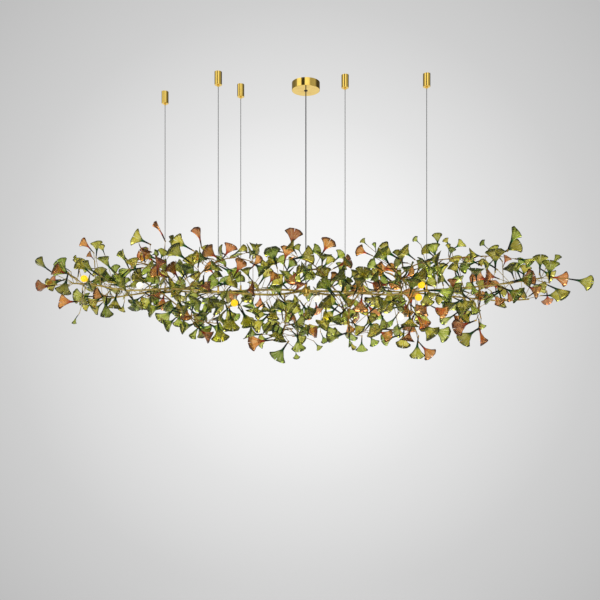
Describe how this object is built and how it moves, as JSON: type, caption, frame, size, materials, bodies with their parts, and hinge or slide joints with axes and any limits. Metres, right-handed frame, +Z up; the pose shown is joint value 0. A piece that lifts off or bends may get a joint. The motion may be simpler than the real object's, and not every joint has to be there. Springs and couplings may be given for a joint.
{
  "type": "chandelier",
  "caption": "Long branching chandelier: glass ginkgo leaves on brass twigs around small plug-in lamps, hung on steel wires from brass gripper cups and fed by a cord from a round canopy.",
  "frame": {"origin": "centre of the top face of the ceiling plate, on the ceiling", "axes": "+Z up, square to the ceiling; +X to the right along the length; +Y to the back"},
  "size_m": [1.9138, 0.4573, 1.0047],
  "materials": {
    "polished_brass": "polished",
    "stem_brass": "satin",
    "plate_steel": "zinc plated",
    "wire_steel": "drawn wire",
    "socket_metal": "satin",
    "cord_sheath": "matt",
    "black_plastic": "matt",
    "white_plastic": "moulded",
    "green_glass": "moulded, dark green stem",
    "amber_glass": "moulded, maroon stem",
    "opal_glass": "frosted"
  },
  "bodies": {
    "ceiling_set": {"ceiling_plate": "plate_steel", "terminal_block": "white_plastic", "cord_clamp": "white_plastic", "power_cord": "cord_sheath", "ceiling_base_1": "plate_steel", "ceiling_base_2": "plate_steel", "ceiling_base_3": "plate_steel", "ceiling_base_4": "plate_steel", "ceiling_base_5": "plate_steel", "gripper_cup_1": "polished_brass", "gripper_cup_2": "polished_brass", "gripper_cup_3": "polished_brass", "gripper_cup_4": "polished_brass", "gripper_cup_5": "polished_brass", "wire_1": "wire_steel", "wire_2": "wire_steel", "wire_3": "wire_steel", "wire_4": "wire_steel", "wire_5": "wire_steel"},
    "canopy": {"canopy_cover": "polished_brass", "cord_grommet": "black_plastic"},
    "plunger_1": {"release_1": "polished_brass"},
    "plunger_2": {"release_2": "polished_brass"},
    "plunger_3": {"release_3": "polished_brass"},
    "plunger_4": {"release_4": "polished_brass"},
    "plunger_5": {"release_5": "polished_brass"},
    "foliage": {"hub": "polished_brass", "wire_lugs": "polished_brass", "lamp_sockets": "socket_metal", "arm_right": "stem_brass", "arm_front": "stem_brass", "arm_back": "stem_brass", "arm_rear": "stem_brass", "branch_1": "stem_brass", "branch_2": "stem_brass", "branch_3": "stem_brass", "branch_4": "stem_brass", "branch_5": "stem_brass", "branch_6": "stem_brass", "branch_7": "stem_brass", "branch_8": "stem_brass", "branch_9": "stem_brass", "leaves_right": "green_glass", "leaves_front": "green_glass", "leaves_back": "green_glass", "leaves_rear": "green_glass", "leaves_upper": "green_glass", "leaves_lower": "green_glass", "amber_left": "amber_glass", "amber_middle": "amber_glass", "amber_right": "amber_glass"},
    "lamp_1": {"bulb_1": "opal_glass"},
    "lamp_2": {"bulb_2": "opal_glass"},
    "lamp_3": {"bulb_3": "opal_glass"},
    "lamp_4": {"bulb_4": "opal_glass"},
    "lamp_5": {"bulb_5": "opal_glass"},
    "lamp_6": {"bulb_6": "opal_glass"},
    "lamp_7": {"bulb_7": "opal_glass"},
    "lamp_8": {"bulb_8": "opal_glass"}
  },
  "joints": [
    {"name": "height_adjust", "type": "slide", "parent": "ceiling_set", "child": "foliage", "axis": [0, 0, 1], "range_m": [0, 0.2], "deforming": ["wire_1", "wire_2", "wire_3", "wire_4", "wire_5", "power_cord"]},
    {"name": "canopy_slide", "type": "slide", "parent": "ceiling_set", "child": "canopy", "axis": [0, 0, -1], "range_m": [0, 0.1]},
    {"name": "release_press_1", "type": "slide", "parent": "ceiling_set", "child": "plunger_1", "axis": [0, 0, 1], "range_m": [0, 0.003], "stiffness_N_per_m": 300, "springref_m": -0.004},
    {"name": "release_press_2", "type": "slide", "parent": "ceiling_set", "child": "plunger_2", "axis": [0, 0, 1], "range_m": [0, 0.003], "stiffness_N_per_m": 300, "springref_m": -0.004},
    {"name": "release_press_3", "type": "slide", "parent": "ceiling_set", "child": "plunger_3", "axis": [0, 0, 1], "range_m": [0, 0.003], "stiffness_N_per_m": 300, "springref_m": -0.004},
    {"name": "release_press_4", "type": "slide", "parent": "ceiling_set", "child": "plunger_4", "axis": [0, 0, 1], "range_m": [0, 0.003], "stiffness_N_per_m": 300, "springref_m": -0.004},
    {"name": "release_press_5", "type": "slide", "parent": "ceiling_set", "child": "plunger_5", "axis": [0, 0, 1], "range_m": [0, 0.003], "stiffness_N_per_m": 300, "springref_m": -0.004},
    {"name": "lamp_pull_1", "type": "slide", "parent": "foliage", "child": "lamp_1", "axis": [-0.5025, -0.7035, 0.5025], "range_m": [0, 0.01]},
    {"name": "lamp_pull_2", "type": "slide", "parent": "foliage", "child": "lamp_2", "axis": [0.0925, -0.9245, 0.3698], "range_m": [0, 0.01]},
    {"name": "lamp_pull_3", "type": "slide", "parent": "foliage", "child": "lamp_3", "axis": [-0.0854, -0.5126, -0.8544], "range_m": [0, 0.01]},
    {"name": "lamp_pull_4", "type": "slide", "parent": "foliage", "child": "lamp_4", "axis": [-0.1741, -0.6963, -0.6963], "range_m": [0, 0.01]},
    {"name": "lamp_pull_5", "type": "slide", "parent": "foliage", "child": "lamp_5", "axis": [-0.7603, -0.6082, -0.2281], "range_m": [0, 0.01]},
    {"name": "lamp_pull_6", "type": "slide", "parent": "foliage", "child": "lamp_6", "axis": [0.4767, -0.6674, 0.5721], "range_m": [0, 0.01]},
    {"name": "lamp_pull_7", "type": "slide", "parent": "foliage", "child": "lamp_7", "axis": [0.4454, -0.8909, 0.0891], "range_m": [0, 0.01]},
    {"name": "lamp_pull_8", "type": "slide", "parent": "foliage", "child": "lamp_8", "axis": [0, -0.9578, -0.2873], "range_m": [0, 0.01]}
  ]
}
